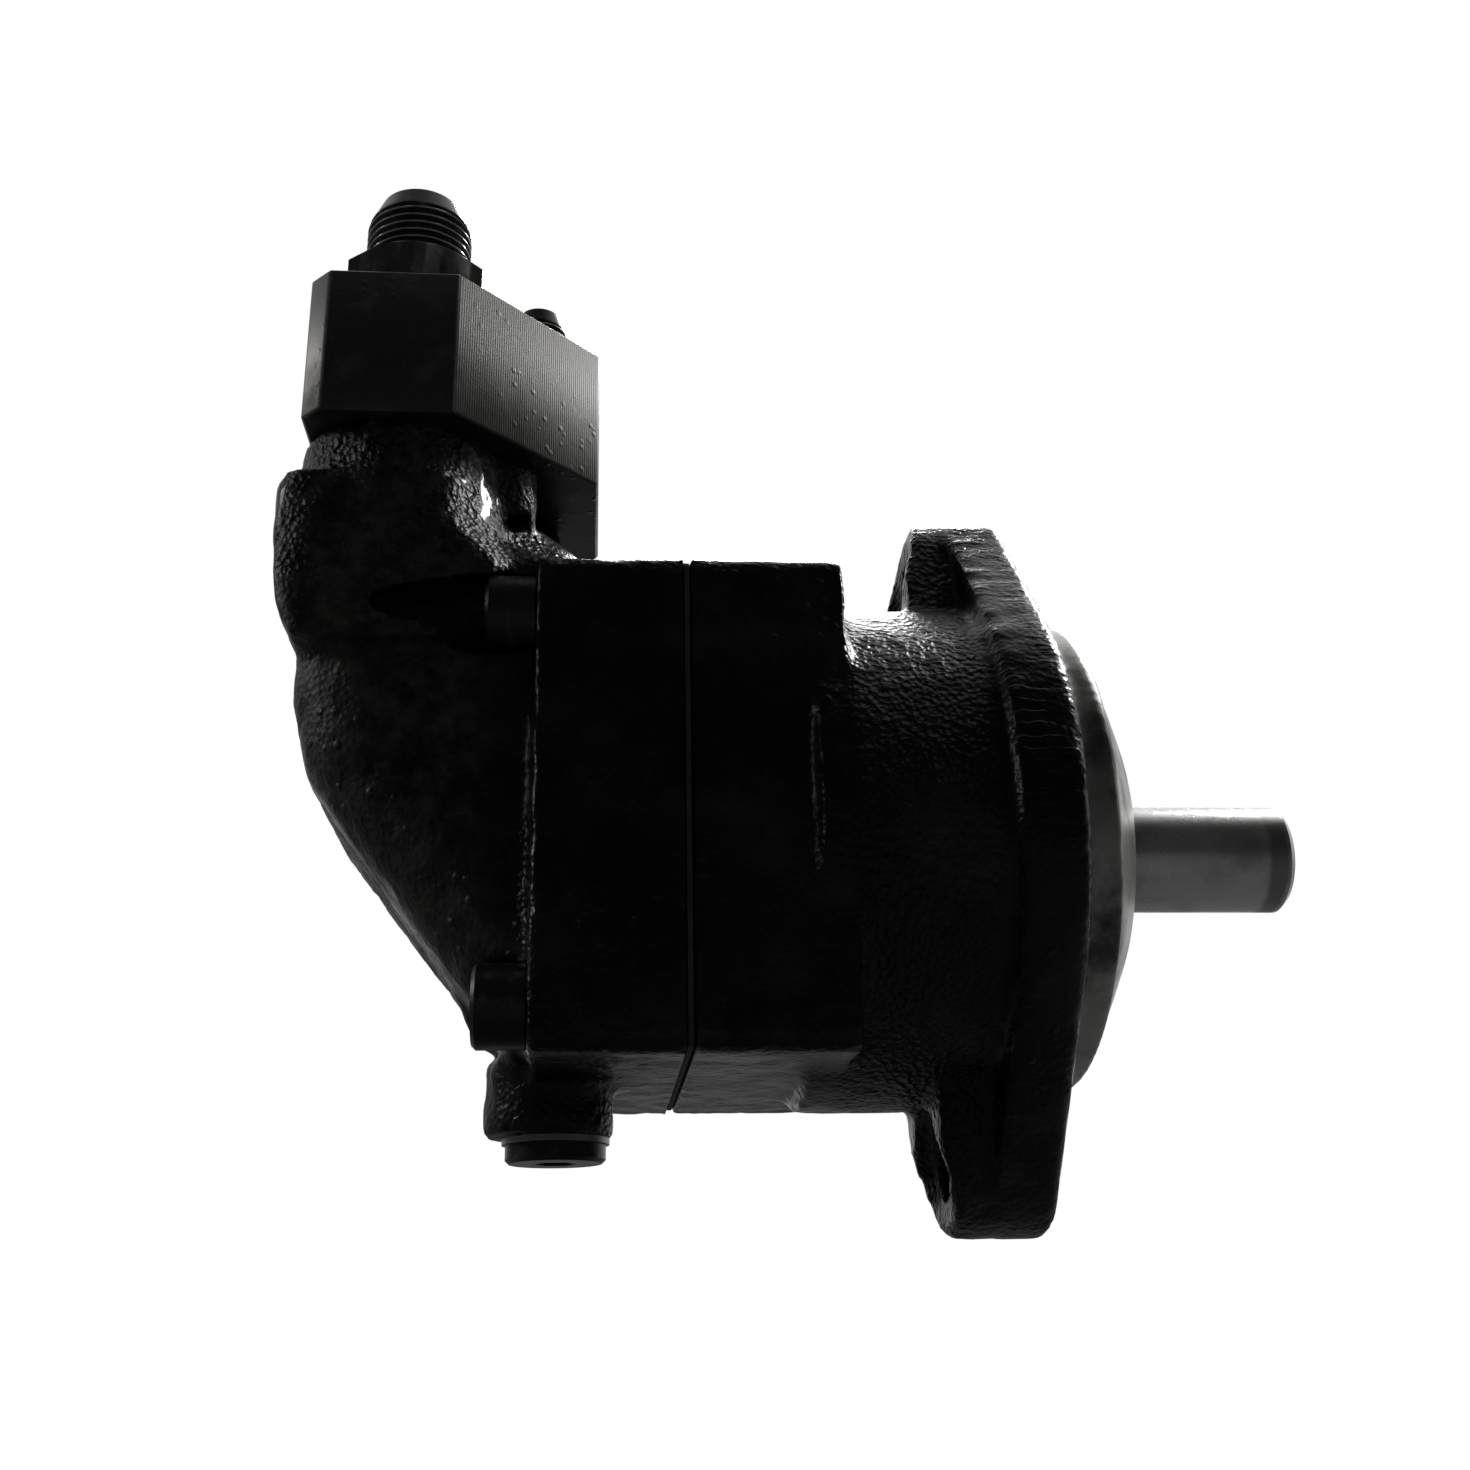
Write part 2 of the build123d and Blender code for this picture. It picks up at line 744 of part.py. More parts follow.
# Seals between the block and the pillars
with BuildPart() as block_orings:
    with BuildSketch(Plane.XY.offset(block_low_z - block_oring_t)):
        with Locations((port_x, port_y), (port_x, -port_y)):
            Circle(block_oring_inner_r + block_oring_w)
            Circle(block_oring_inner_r, mode=Mode.SUBTRACT)
    extrude(amount=block_oring_t)
    fillet(block_orings.edges().filter_by(GeomType.CIRCLE), block_oring_edge)
save(block_orings, "block_orings")


# Drain plug with its sealing washer under the barrel housing
with BuildPart() as drain_plug:
    with BuildSketch(Plane.XY.offset(plug_boss_low_z - washer_t)):
        with Locations((plug_boss_x, 0)):
            Circle(plug_head_r)
    extrude(amount=-plug_head_t)
    chamfer(drain_plug.faces().sort_by(Axis.Z)[0].edges(), head_edge)
    with BuildSketch(Plane.XY.offset(plug_boss_low_z - washer_t)):
        with Locations((plug_boss_x, 0)):
            Circle(plug_r)
    extrude(amount=plug_len + washer_t)
    with BuildSketch(Plane.XY.offset(plug_boss_low_z - washer_t - plug_head_t)):
        with Locations((plug_boss_x, 0)):
            RegularPolygon(hex_corner_r(plug_hex), 6)
    extrude(amount=plug_hex_depth, mode=Mode.SUBTRACT)
save(drain_plug, "drain_plug")

with BuildPart() as drain_plug_washer:
    with BuildSketch(Plane.XY.offset(plug_boss_low_z)):
        with Locations((plug_boss_x, 0)):
            Circle(plug_head_r + washer_lip)
            Circle(plug_r + thread_gap, mode=Mode.SUBTRACT)
    extrude(amount=-washer_t)
save(drain_plug_washer, "drain_plug_washer")


# Output shaft with its drive flange and ball sockets
with BuildPart() as output_shaft:
    with BuildSketch(Plane.XZ):
        with BuildLine():
            Polyline(
                (drive_face_x, 0),
                (drive_face_x, drive_flange_r),
                (drive_face_x + drive_flange_t, drive_flange_r),
                (rear_cone_x, drive_shoulder_r),
                (rear_cone_x, rear_bore_r),
                (rear_cone_end_x, rear_bore_r),
                (rear_cone_end_x, front_bore_r),
                (front_cone_end_x, front_bore_r),
                (front_cone_end_x, nut_thread_r),
                (nut_end_x + nut_runout, nut_thread_r),
                (nut_end_x + nut_runout, seal_land_r),
                (seal_land_end_x, seal_land_r),
                (seal_land_end_x, shaft_r),
                (shaft_end_x - shaft_chamfer, shaft_r),
                (shaft_end_x, shaft_r - shaft_chamfer),
                (shaft_end_x, 0),
                close=True,
            )
        make_face()
    revolve(axis=Axis.X)
    with BuildPart(across(drive_face_x), mode=Mode.SUBTRACT):
        with PolarLocations(ball_pitch_r, piston_count):
            Sphere(piston_ball_r + socket_gap)
    with BuildPart(across(drive_face_x), mode=Mode.SUBTRACT):
        Sphere(pin_ball_r + socket_gap)
    with BuildSketch(Plane.XZ.offset(-shaft_r + key_depth)):
        with Locations((key_start_x + key_len / 2, 0)):
            SlotOverall(key_len, key_width)
    extrude(amount=-key_depth - 1, mode=Mode.SUBTRACT)
save(output_shaft, "output_shaft")


def roller_bearing(name, start_x, facing, bore_r, outer_r, cone_w, cup_w, rollers):
    """Tapered roller bearing. facing is 1 when its rollers' large ends point towards -X."""
    middle_r = (bore_r + outer_r) / 2
    wall = (outer_r - bore_r) * race_share
    roller_r = (outer_r - bore_r) / 2 - wall - roll_gap
    lean = math.radians(roller_lean_deg)
    near_x = start_x if facing > 0 else start_x + cone_w
    back = facing
    middle_x = near_x + back * cone_w * roller_centre_share
    half = cone_w * roller_half_share
    rise = half * math.tan(lean)

    def ring(points):
        with BuildPart() as body:
            with BuildSketch(Plane.XZ):
                with BuildLine():
                    Polyline(*points, close=True)
                make_face()
            revolve(axis=Axis.X)
        return body

    inner = middle_r - roller_r / math.cos(lean) - roll_gap
    outer = middle_r + roller_r / math.cos(lean) + roll_gap
    slope = math.tan(lean)
    face_x = near_x + back * cone_w
    lip_x = middle_x - back * (half + roller_end_gap + roller_groove_gap)
    tail_x = middle_x + back * (half + roller_end_gap + roller_groove_gap)
    cone = ring(
        [
            (near_x, bore_r),
            (near_x, inner + slope * half + race_lip),
            (lip_x, inner + slope * half + race_lip),
            (lip_x, inner + slope * (half + roller_end_gap)),
            (tail_x, inner - slope * (half + roller_end_gap)),
            (face_x, inner - slope * (half + roller_end_gap)),
            (face_x, bore_r),
        ]
    )
    save(cone, f"{name}_bearing_cone")
    cup_x = near_x + back * cone_w
    cup_far_x = cup_x - back * cup_w
    cup = ring(
        [
            (cup_x, outer_r),
            (cup_x, outer - slope * abs(cup_x - middle_x)),
            (cup_far_x, outer + slope * abs(cup_far_x - middle_x)),
            (cup_far_x, outer_r),
        ]
    )
    save(cup, f"{name}_bearing_cup")

    axis_dir = Vector(-back * math.cos(lean), 0, math.sin(lean))
    roller_plane = Plane(origin=(middle_x, 0, middle_r), x_dir=(0, 1, 0), z_dir=axis_dir)
    small_r = roller_r - half * roller_taper
    with BuildPart(roller_plane, mode=Mode.PRIVATE) as one_roller:
        Cone(small_r, roller_r, 2 * half)
    with BuildPart() as roller_set:
        for index in range(rollers):
            add(one_roller.part.rotate(Axis.X, 360 * index / rollers))
    save(roller_set, f"{name}_bearing_rollers")

    with BuildPart(roller_plane, mode=Mode.PRIVATE) as one_pocket:
        Cylinder(roller_r + cage_gap, 2 * (half + cage_gap))
    with BuildPart() as cage:
        with BuildSketch(Plane.XZ):
            with BuildLine():
                Polyline(
                    (middle_x - back * (half + cage_past), middle_r + rise + cage_rise + cage_t / 2),
                    (middle_x - back * (half + cage_past), middle_r + rise + cage_rise - cage_t / 2),
                    (middle_x + back * (half + cage_past), middle_r - rise - cage_rise - cage_t / 2),
                    (middle_x + back * (half + cage_past), middle_r - rise - cage_rise + cage_t / 2),
                    close=True,
                )
            make_face()
        revolve(axis=Axis.X)
        for index in range(rollers):
            add(one_pocket.part.rotate(Axis.X, 360 * index / rollers), mode=Mode.SUBTRACT)
    save(cage, f"{name}_bearing_cage")


roller_bearing("rear", rear_cone_x, 1, rear_bore_r, rear_outer_r, rear_cone_w, rear_cup_w, rear_roller_count)
roller_bearing(
    "front", front_cone_x, -1, front_bore_r, front_outer_r, front_cone_w, front_cup_w, front_roller_count
)


def bush(name, start_x, length, inner_r, outer_r):
    with BuildPart() as sleeve:
        with BuildSketch(across(start_x)):
            Circle(outer_r)
            Circle(inner_r, mode=Mode.SUBTRACT)
        extrude(amount=length)
    save(sleeve, name)


bush("bearing_spacer", rear_cone_end_x, spacer_len, front_bore_r, spacer_r)

with BuildPart() as bearing_nut:
    with BuildSketch(across(front_cone_end_x)):
        Circle(nut_r)
        Circle(nut_thread_r, mode=Mode.SUBTRACT)
        with PolarLocations(nut_r, 4):
            Rectangle(2 * nut_slot_depth, nut_slot_w, mode=Mode.SUBTRACT)
    extrude(amount=nut_w)
save(bearing_nut, "bearing_nut")


# Seal carrier in the nose, its ring seal, retaining ring and the shaft seal
with BuildPart() as seal_carrier:
    with BuildSketch(across(carrier_back_x)):
        Circle(carrier_r - run_gap)
        Circle(seal_land_r + carrier_lip_gap, mode=Mode.SUBTRACT)
    extrude(amount=carrier_front_x - carrier_back_x)
    with BuildSketch(across(seal_back_x)):
        Circle(seal_r)
    extrude(amount=carrier_front_x - seal_back_x, mode=Mode.SUBTRACT)
    with BuildSketch(across(carrier_groove_x)):
        Circle(carrier_r + 1)
        Circle(carrier_r - carrier_groove_depth, mode=Mode.SUBTRACT)
    extrude(amount=carrier_groove_w, mode=Mode.SUBTRACT)
save(seal_carrier, "seal_carrier")

bush(
    "carrier_oring", carrier_groove_x + ring_side_gap, carrier_groove_w - 2 * ring_side_gap,
    carrier_r - carrier_groove_depth, carrier_r,
)
bush(
    "carrier_retaining_ring", carrier_front_x, carrier_ring_t,
    carrier_r - carrier_ring_width + carrier_ring_depth, carrier_r + carrier_ring_depth - run_gap,
)
bush("shaft_seal", seal_back_x, seal_t, seal_land_r + run_gap, seal_r)


# Cylinder barrel with piston bores, kidney ports and centre bore
with BuildPart() as cylinder_barrel:
    with BuildSketch(barrel_plane.offset(barrel_front_s)):
        Circle(barrel_r)
    extrude(amount=barrel_len)
    chamfer(cylinder_barrel.edges().filter_by(GeomType.CIRCLE), barrel_chamfer)
    with BuildSketch(barrel_plane.offset(barrel_front_s)):
        with PolarLocations(bore_pitch_r, piston_count):
            Circle(piston_r + run_gap)
    extrude(amount=barrel_len - bore_end_wall, mode=Mode.SUBTRACT)
    with BuildSketch(barrel_plane.offset(barrel_back_s)):
        with PolarLocations(0, piston_count):
            SlotArc(
                CenterArc((0, 0), bore_pitch_r, -kidney_sweep_deg / 2, kidney_sweep_deg), kidney_w
            )
    extrude(amount=-bore_end_wall, mode=Mode.SUBTRACT)
    with BuildSketch(barrel_plane.offset(barrel_front_s)):
        Circle(spring_well_r)
    extrude(amount=pin_collar_s + pin_collar_t + spring_count * spring_pitch - barrel_front_s, mode=Mode.SUBTRACT)
    with BuildSketch(barrel_plane.offset(barrel_front_s)):
        Circle(pin_r + run_gap)
    extrude(amount=barrel_len, mode=Mode.SUBTRACT)
save(cylinder_barrel, "cylinder_barrel")


def about_barrel(name, points, pitch_r=0, count=1):
    """Turned pieces on the bent axis, from a half profile of (radius, distance along the axis)."""
    with BuildPart() as turned:
        for index in range(count):
            turn = math.radians(360 * index / count)
            centre = barrel_plane.from_local_coords((pitch_r * math.cos(turn), pitch_r * math.sin(turn), 0))
            half_plane = Plane(origin=centre, x_dir=(0, 1, 0), z_dir=barrel_dir.cross(Vector(0, 1, 0)) * -1)
            with BuildSketch(half_plane):
                with BuildLine():
                    Polyline(*points, close=True)
                make_face()
            revolve(axis=Axis(centre, barrel_dir))
    return turned


def ball_points(ball_r, neck_r, centre_s, steps=12):
    """Half profile of a ball end, from its pole round to the neck."""
    stop = math.asin(neck_r / ball_r)
    sweep = math.pi - stop
    return [
        (ball_r * math.sin(sweep * i / steps), centre_s - ball_r * math.cos(sweep * i / steps))
        for i in range(steps + 1)
    ]


head_s = piston_ball_s + piston_len
skirt_s = head_s - 3 * ring_w - piston_skirt_len
piston_profile = ball_points(piston_ball_r, piston_neck_r, piston_ball_s) + [
    (piston_neck_r + 0.2, piston_ball_s + piston_ball_r),
    (piston_r - piston_skirt_slim, skirt_s),
    (piston_r, skirt_s + piston_skirt_lead),
    (piston_r, head_s - 2 * ring_w),
    (piston_r - ring_depth, head_s - 2 * ring_w),
    (piston_r - ring_depth, head_s - ring_w),
    (piston_r, head_s - ring_w),
    (piston_r, head_s),
    (0, head_s),
]
save(about_barrel("pistons", piston_profile, bore_pitch_r, piston_count), "pistons")

ring_profile = [
    (piston_r - ring_depth + run_gap, head_s - 2 * ring_w + run_gap),
    (piston_r + run_gap / 2, head_s - 2 * ring_w + run_gap),
    (piston_r + run_gap / 2, head_s - ring_w - run_gap),
    (piston_r - ring_depth + run_gap, head_s - ring_w - run_gap),
]
save(about_barrel("piston_rings", ring_profile, bore_pitch_r, piston_count), "piston_rings")

pin_profile = ball_points(pin_ball_r, pin_r, 0) + [
    (pin_r, pin_collar_s),
    (pin_collar_r, pin_collar_s),
    (pin_collar_r, pin_collar_s + pin_collar_t),
    (pin_r, pin_collar_s + pin_collar_t),
    (pin_r, pin_end_s),
    (0, pin_end_s),
]
save(about_barrel("centre_pin", pin_profile), "centre_pin")

# Disc springs in pairs, base to base, that press the barrel on the valve plate
with BuildPart() as disc_springs:
    for index in range(spring_count):
        low_s = pin_collar_s + pin_collar_t + index * spring_pitch
        inner_s, outer_s = (low_s, low_s + spring_pitch - spring_t)
        if index % 2:
            inner_s, outer_s = outer_s, inner_s
        half_plane = Plane(
            origin=(pivot_x, 0, 0), x_dir=(0, 1, 0), z_dir=barrel_dir.cross(Vector(0, 1, 0)) * -1
        )
        with BuildSketch(half_plane):
            with BuildLine():
                Polyline(
                    (pin_r + run_gap, inner_s),
                    (spring_well_r - spring_side_gap, outer_s),
                    (spring_well_r - spring_side_gap, outer_s + spring_t),
                    (pin_r + run_gap, inner_s + spring_t),
                    close=True,
                )
            make_face()
        revolve(axis=Axis((pivot_x, 0, 0), barrel_dir))
save(disc_springs, "disc_springs")

with BuildPart() as valve_plate:
    with BuildSketch(barrel_plane.offset(plate_s)):
        Circle(plate_r)
        for centre_deg in (0, 180):
            SlotArc(
                CenterArc((0, 0), bore_pitch_r, centre_deg - plate_kidney_deg / 2, plate_kidney_deg),
                plate_kidney_w,
                mode=Mode.SUBTRACT,
            )
        with Locations((0, dowel_pitch_r), (0, -dowel_pitch_r)):
            Circle(dowel_r + thread_gap, mode=Mode.SUBTRACT)
    extrude(amount=plate_t)
save(valve_plate, "valve_plate")

with BuildPart() as plate_dowels:
    with BuildSketch(barrel_plane.offset(plate_s + dowel_end_room)):
        with Locations((0, dowel_pitch_r), (0, -dowel_pitch_r)):
            Circle(dowel_r)
    extrude(amount=dowel_len - 2 * dowel_end_room)
save(plate_dowels, "plate_dowels")
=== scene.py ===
import json
import math
import bpy
import bmesh
from mathutils import Matrix, Vector, noise


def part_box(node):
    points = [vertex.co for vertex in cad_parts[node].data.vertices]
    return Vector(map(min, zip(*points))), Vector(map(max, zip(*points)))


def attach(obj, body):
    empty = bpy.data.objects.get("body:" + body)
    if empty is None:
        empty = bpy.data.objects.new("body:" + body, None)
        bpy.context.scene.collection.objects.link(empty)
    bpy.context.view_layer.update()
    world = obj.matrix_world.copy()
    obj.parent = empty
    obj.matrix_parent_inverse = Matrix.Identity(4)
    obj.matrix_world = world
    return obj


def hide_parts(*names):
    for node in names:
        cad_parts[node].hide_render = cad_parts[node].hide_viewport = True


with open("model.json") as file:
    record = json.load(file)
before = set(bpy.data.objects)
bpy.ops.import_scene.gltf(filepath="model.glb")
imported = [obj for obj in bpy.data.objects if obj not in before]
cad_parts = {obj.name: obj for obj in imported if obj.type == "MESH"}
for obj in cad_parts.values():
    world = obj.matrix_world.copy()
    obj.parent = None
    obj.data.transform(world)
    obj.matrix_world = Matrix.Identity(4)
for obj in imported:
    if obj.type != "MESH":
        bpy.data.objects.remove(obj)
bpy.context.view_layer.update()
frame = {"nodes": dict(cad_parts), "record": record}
nodes = frame["nodes"]
mm = 0.001
print("frame loaded:", len(nodes), "nodes")


# ---- shader values written as expressions
class Wire:
    def __init__(self, tree, socket=None):
        self.tree = tree
        self.socket = socket

    def make(self, kind, settings=None, inputs=None, output=0):
        made = self.tree.nodes.new(kind)
        for key, value in (settings or {}).items():
            setattr(made, key, value)
        for key, value in (inputs or {}).items():
            if isinstance(value, Wire):
                self.tree.links.new(value.socket, made.inputs[key])
            else:
                made.inputs[key].default_value = value
        return Wire(self.tree, made.outputs[output])

    def calc(self, operation, left, right=0.0):
        return self.make("ShaderNodeMath", {"operation": operation}, {0: left, 1: right})

    def __add__(self, other):
        return self.calc("ADD", self, other)

    def __sub__(self, other):
        return self.calc("SUBTRACT", self, other)

    def __rsub__(self, other):
        return self.calc("SUBTRACT", other, self)

    def __mul__(self, other):
        return self.calc("MULTIPLY", self, other)

    __radd__ = __add__
    __rmul__ = __mul__

    def root(self):
        return self.calc("SQRT", self)

    def size(self):
        return self.calc("ABSOLUTE", self)

    def wave(self):
        return self.calc("SINE", self)

    def band(self, low, high, toLow=0.0, toHigh=1.0):  # smooth step from low to high
        return self.make("ShaderNodeMapRange", {"interpolation_type": "SMOOTHSTEP"},
                         {"Value": self, "From Min": low, "From Max": high, "To Min": toLow, "To Max": toHigh})


class Finish:
    def __init__(self, name, metallic=0.0):
        self.material = bpy.data.materials.new(name)
        self.material.use_nodes = True
        self.tree = self.material.node_tree
        self.shader = self.tree.nodes["Principled BSDF"]
        self.shader.inputs["Metallic"].default_value = metallic
        self.wire = Wire(self.tree)
        self.place = self.wire.make("ShaderNodeTexCoord", output=3)
        self.x, self.y, self.z = [self.wire.make("ShaderNodeSeparateXYZ", None, {0: self.place}, i) for i in range(3)]

    def cloud(self, scale, detail=3.0, rough=0.55):  # soft noise, 0 to 1
        return self.wire.make("ShaderNodeTexNoise", None,
                              {"Vector": self.place, "Scale": scale, "Detail": detail, "Roughness": rough})

    def grit(self, scale, smooth=0.4):  # rounded sand grains
        return self.wire.make("ShaderNodeTexVoronoi", {"feature": "SMOOTH_F1"},
                              {"Vector": self.place, "Scale": scale, "Smoothness": smooth})

    def blend(self, factor, low, high):  # two colours
        made = self.tree.nodes.new("ShaderNodeMix")
        made.data_type = "RGBA"
        self.tree.links.new(factor.socket, made.inputs[0])
        for slot, value in ((6, low), (7, high)):
            if isinstance(value, Wire):
                self.tree.links.new(value.socket, made.inputs[slot])
            else:
                made.inputs[slot].default_value = (*value, 1)
        return Wire(self.tree, made.outputs[2])

    def feed(self, **values):
        names = {"colour": "Base Color", "roughness": "Roughness", "metallic": "Metallic", "coat": "Coat Weight"}
        for key, value in values.items():
            target = self.shader.inputs[names[key]]
            if isinstance(value, Wire):
                self.tree.links.new(value.socket, target)
            else:
                target.default_value = (*value, 1) if key == "colour" else value

    def relief(self, height, distance, strength=1.0):
        bump = self.wire.make("ShaderNodeBump", None, {"Height": height, "Distance": distance, "Strength": strength})
        self.tree.links.new(bump.socket, self.shader.inputs["Normal"])


# ---- finishes
castLook = {"dark": (0.0018, 0.0018, 0.0019), "dustyAndLit": (0.0520, 0.0500, 0.0450), "grain": 950, "depth": 0.00030,
            "gloss": 0.25, "spec": 0.22, "coat": 0.18, "coatRough": 0.08, "rimTicks": 130, "tickHeight": 0.7,
            "drops": 330, "dropHeight": 0.9, "pebbles": 1.3}


def castPaint():
    made = Finish("castPaint")
    oil = made.cloud(48).band(0.45, 0.62)
    film = made.cloud(210, 4)
    grains = made.grit(castLook["grain"])
    pits = made.cloud(castLook["grain"] * 2.2, 2)
    slope = 1 - made.x.band(-0.100, -0.086)  # lighter and rougher towards the barrel end: partly dust, partly painted light from the left
    # dust patches over the casting; towards the barrel end they also paint in light from the left
    dustAndPaintedLight = made.cloud(55, 8, 0.7).band(0.44, 0.76) * (0.30 + slope * 0.35)
    dustAndPaintedLight = dustAndPaintedLight + slope * made.cloud(240, 6, 0.7).band(0.40, 0.66) * 0.5
    pillars = (1 - made.x.band(-0.094, -0.084)) * made.z.band(0.030, 0.044)
    rough = castLook["gloss"] + film * 0.10 + dustAndPaintedLight * 0.18 + pillars * 0.10 + slope * (1 - pillars) * 0.20
    made.feed(colour=made.blend(dustAndPaintedLight, castLook["dark"], castLook["dustyAndLit"]), roughness=rough,
              coat=oil * castLook["coat"])
    made.shader.inputs["Coat Roughness"].default_value = castLook["coatRough"]
    made.shader.inputs["Specular IOR Level"].default_value = castLook["spec"]
    radius = (made.y * made.y + made.z * made.z).root()
    rim = made.x.band(-0.0125, -0.0105) * (1 - made.x.band(-0.0016, -0.0006)) * radius.band(0.0405, 0.0425)
    turn = made.y.calc("ARCTAN2", made.y, made.z)
    ticks = (turn * castLook["rimTicks"] + made.cloud(160) * 9.0).wave().band(0.1, 0.8)
    ticks = ticks * made.cloud(90, 4).band(0.42, 0.62) * made.z.band(-0.02, 0.03, 0.25, 1.0)
    neck = made.x.band(-0.037, -0.034) * (1 - made.x.band(-0.016, -0.012))
    pebbles = made.cloud(26, 2).band(0.40, 0.60, 0.35, 0.8) + (pillars + neck) * castLook["pebbles"]
    drops = (1 - made.grit(castLook["drops"], 0.0).band(0.10, 0.30)) * made.cloud(38, 4).band(0.46, 0.58)
    height = (grains + pits * 0.5) * pebbles + made.cloud(170) * 0.45
    height = height + ticks * rim * castLook["tickHeight"] + drops * castLook["dropHeight"]
    made.relief(height, castLook["depth"], 1.0)
    return made.material


blockLook = {"paint": (0.0210, 0.0210, 0.0208), "scuffed": (0.0450, 0.0440, 0.0420),
             "milled": (0.235, 0.230, 0.220), "groove": (0.075, 0.073, 0.070), "linePitch": 0.72 * mm,
             "spec": 0.35, "depth": 0.00010, "gloss": 0.36, "nicks": 420}


def blockPaint():  # painted front, bare milled diagonals at the corners
    made = Finish("blockPaint")
    low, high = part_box("port_block")
    right = (made.x + made.y.size()).band(high.x + 14.6 * mm, high.x + 15.0 * mm)
    left = (made.y.size() - made.x).band(high.y - low.x - 4.1 * mm, high.y - low.x - 3.7 * mm)
    along = made.x - made.y.size()
    lines = (along * (2 * math.pi / blockLook["linePitch"]) + made.cloud(40) * 1.5).wave().band(-0.6, 0.7)
    wear = made.cloud(160, 5).band(0.5, 0.7)
    # cloudy patches, darker and rougher towards the block's bottom
    lowPatches = made.cloud(75, 6, 0.65).band(0.45, 0.68) * (1 - made.z.band(low.z, low.z + 20 * mm)) * 0.8
    ground = made.blend(lines * (0.5 + made.cloud(120) * 0.5), blockLook["milled"], blockLook["groove"])
    steel = made.blend(lowPatches, ground, blockLook["groove"])
    made.feed(colour=made.blend(right + left, made.blend(wear, blockLook["paint"], blockLook["scuffed"]), steel),
              roughness=blockLook["gloss"] + right * 0.26 + left * 0.16 + lowPatches * 0.1,
              metallic=right * 0.30 + left * 0.6)
    made.shader.inputs["Specular IOR Level"].default_value = blockLook["spec"]
    nicks = (1 - made.grit(blockLook["nicks"], 0.0).band(0.08, 0.30)) * made.cloud(60, 4).band(0.48, 0.60)
    height = lines * right * 0.3 + made.cloud(700, 4) * 0.35 + lowPatches * 0.8 + nicks * 1.6
    made.relief(height, blockLook["depth"], 0.8)
    return made.material


# the crest colour is a painted highlight
fittingLook = {"dark": (0.020, 0.020, 0.0205), "worn": (0.065, 0.064, 0.061), "crestHighlighted": (0.42, 0.42, 0.42),
               "metallic": 0.6, "gloss": 0.27, "depth": 0.00005}


def darkFitting(name="darkFitting", crestAt=None):  # crestAt: centre x and y, thread radius, lowest z of the thread; there the crests get a painted highlight
    made = Finish(name, fittingLook["metallic"])
    wear = made.cloud(420, 5).band(0.52, 0.74)
    colour = made.blend(wear, fittingLook["dark"], fittingLook["worn"])
    if crestAt:
        cx, cy, radius, low = crestAt
        dx, dy = made.x - cx, made.y - cy
        far = (dx * dx + dy * dy).root()
        # painted highlight on the thread crests
        crestHighlighted = far.band(radius - 0.22 * mm, radius - 0.04 * mm) * made.z.band(low, low + 0.3 * mm)
        colour = made.blend(crestHighlighted * (0.55 + made.cloud(500) * 0.6), colour, fittingLook["crestHighlighted"])
    made.feed(colour=colour, roughness=fittingLook["gloss"] + made.cloud(300) * 0.16)
    made.relief(made.cloud(900, 3), fittingLook["depth"], 0.6)
    return made.material


steelLook = {"metallic": 0.85, "ringPitch": 0.32 * mm, "depth": 0.00003}


def turnedSteel(name, light, darkTone, ringsAcross, rough):
    made = Finish(name, steelLook["metallic"])
    radius = (made.y * made.y + made.z * made.z).root()
    run = radius if ringsAcross else made.x
    rings = (run * (2 * math.pi / steelLook["ringPitch"]) + made.cloud(60) * 2.0).wave()
    stainsAndShade = made.cloud(70, 6, 0.62).band(0.42, 0.68)
    if not ringsAcross:  # painted shade of a groove ring near the shaft's end
        stainsAndShade = stainsAndShade * 0.6 + made.x.band(0.0425, 0.0440) * (1 - made.x.band(0.0458, 0.0468)) * 0.9
    specks = made.cloud(600, 3).band(0.6, 0.75)
    made.feed(colour=made.blend(stainsAndShade, light, darkTone),
              roughness=rough + stainsAndShade * 0.12 + specks * 0.1)
    made.relief(rings * 0.4 + specks * 0.6, steelLook["depth"], 0.6)
    return made.material


def plainFinish(name, colour, worn, metallic, rough, grain=400):
    made = Finish(name, metallic)
    patches = made.cloud(grain / 4, 5).band(0.4, 0.7)
    made.feed(colour=made.blend(patches, colour, worn), roughness=rough + made.cloud(grain) * 0.12)
    made.relief(made.cloud(grain * 2), 0.00004, 0.5)
    return made.material


finishes = {
    "cast_paint": castPaint(),
    "block_paint": blockPaint(),
    "dark_steel": darkFitting(),
    "bare_steel": turnedSteel("shaftSteel", (0.47, 0.47, 0.465), (0.20, 0.198, 0.194), False, 0.24),
    "bearing_steel": plainFinish("bearingSteel", (0.62, 0.62, 0.64), (0.5, 0.5, 0.52), 1.0, 0.14),
    "cage_steel": plainFinish("cageSteel", (0.5, 0.49, 0.46), (0.38, 0.37, 0.35), 1.0, 0.3),
    "bronze": plainFinish("bronze", (0.55, 0.40, 0.20), (0.42, 0.30, 0.15), 1.0, 0.28),
    "seal_rubber": plainFinish("sealRubber", (0.02, 0.02, 0.02), (0.03, 0.03, 0.03), 0.0, 0.5),
    "gasket": plainFinish("gasketFibre", (0.03, 0.03, 0.03), (0.05, 0.045, 0.04), 0.0, 0.7, 900),
    "washer": plainFinish("softWasher", (0.35, 0.35, 0.35), (0.22, 0.22, 0.22), 1.0, 0.35),
}
noseSteel = turnedSteel("noseSteel", (0.31, 0.306, 0.298), (0.065, 0.063, 0.060), True, 0.36)
for entry in frame["record"]["subparts"]:
    mesh = nodes[entry["node"]].data
    mesh.materials.clear()
    mesh.materials.append(finishes[entry["material_slot"]])
print("finishes:", len(finishes) + 1)


